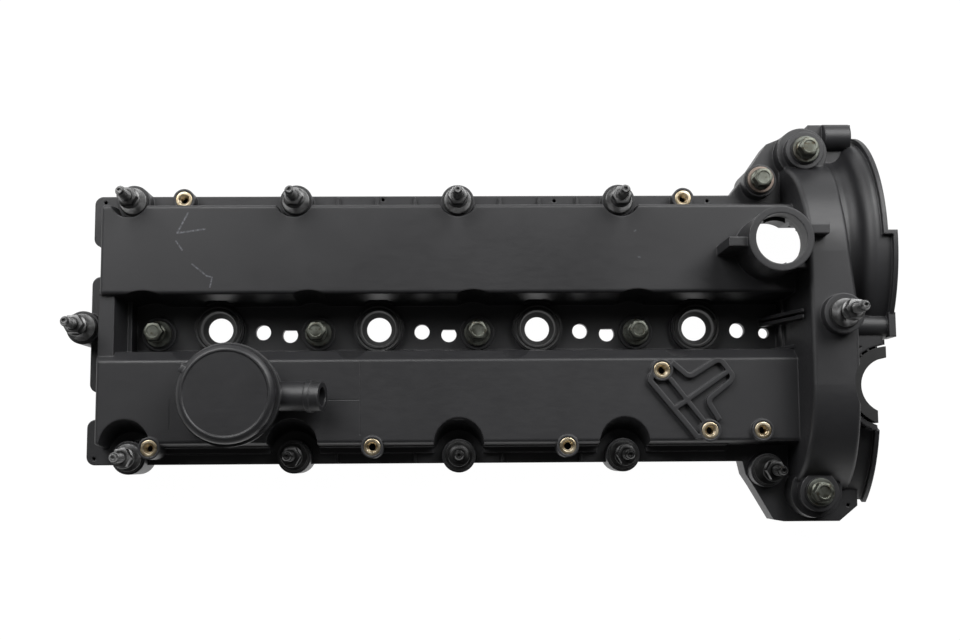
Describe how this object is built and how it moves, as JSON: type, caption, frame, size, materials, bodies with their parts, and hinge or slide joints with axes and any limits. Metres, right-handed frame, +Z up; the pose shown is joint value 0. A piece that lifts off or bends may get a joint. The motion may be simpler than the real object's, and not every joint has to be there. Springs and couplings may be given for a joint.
{
  "type": "engine valve cover",
  "caption": "Moulded valve cover for an inline engine with two cam ridges, an injector valley, an arched chain case, a filler neck and a round breather valve.",
  "frame": {"origin": "on the plane that meets the cylinder head, midway between the second and third injector rings, on the line of the injectors", "axes": "+X along the engine towards the chain end, +Y across the engine towards the back ridge with the filler neck, +Z up from the cylinder head"},
  "size_m": [0.4812, 0.2393, 0.1138],
  "materials": {
    "nylon": "satin black glass-filled nylon",
    "lid_nylon": "satin black nylon",
    "rubber": "matte black rubber",
    "plated_steel": "grey zinc plate",
    "dark_steel": "dark grey plated steel",
    "spring_steel": "bright spring steel",
    "brass": "pale turned brass"
  },
  "bodies": {
    "cover": {"cover_shell": "nylon", "perimeter_gasket": "rubber", "valley_gasket": "rubber", "stud_grommets": "rubber", "bolt_grommets": "rubber", "breather_diaphragm": "rubber", "notch_seal": "rubber", "injector_seal_1": "rubber", "injector_seal_2": "rubber", "injector_seal_3": "rubber", "injector_seal_4": "rubber", "stud_sleeves": "plated_steel", "bolt_sleeves": "plated_steel", "stud_bolt_1": "dark_steel", "stud_bolt_2": "dark_steel", "stud_bolt_3": "dark_steel", "stud_bolt_4": "dark_steel", "stud_bolt_5": "dark_steel", "stud_bolt_6": "dark_steel", "stud_bolt_7": "dark_steel", "stud_bolt_8": "dark_steel", "stud_bolt_9": "dark_steel", "stud_bolt_10": "dark_steel", "stud_bolt_11": "dark_steel", "flange_bolt_1": "plated_steel", "flange_bolt_2": "plated_steel", "flange_bolt_3": "plated_steel", "flange_bolt_4": "plated_steel", "flange_bolt_5": "plated_steel", "flange_bolt_6": "plated_steel", "flange_bolt_7": "plated_steel", "breather_cap": "lid_nylon", "valve_spring": "spring_steel", "oil_baffle": "nylon", "insert_1": "brass", "insert_2": "brass", "insert_3": "brass", "insert_4": "brass", "insert_5": "brass", "insert_6": "brass", "insert_7": "brass", "insert_8": "brass"},
    "valve": {"valve_plate": "lid_nylon"}
  },
  "joints": [
    {"name": "valve_travel", "type": "slide", "parent": "cover", "child": "valve", "axis": [0, 0, 1], "range_m": [-0.0021, 0], "stiffness_N_per_m": 200, "springref_m": 0.002, "deforming": ["valve_spring", "breather_diaphragm"]}
  ]
}
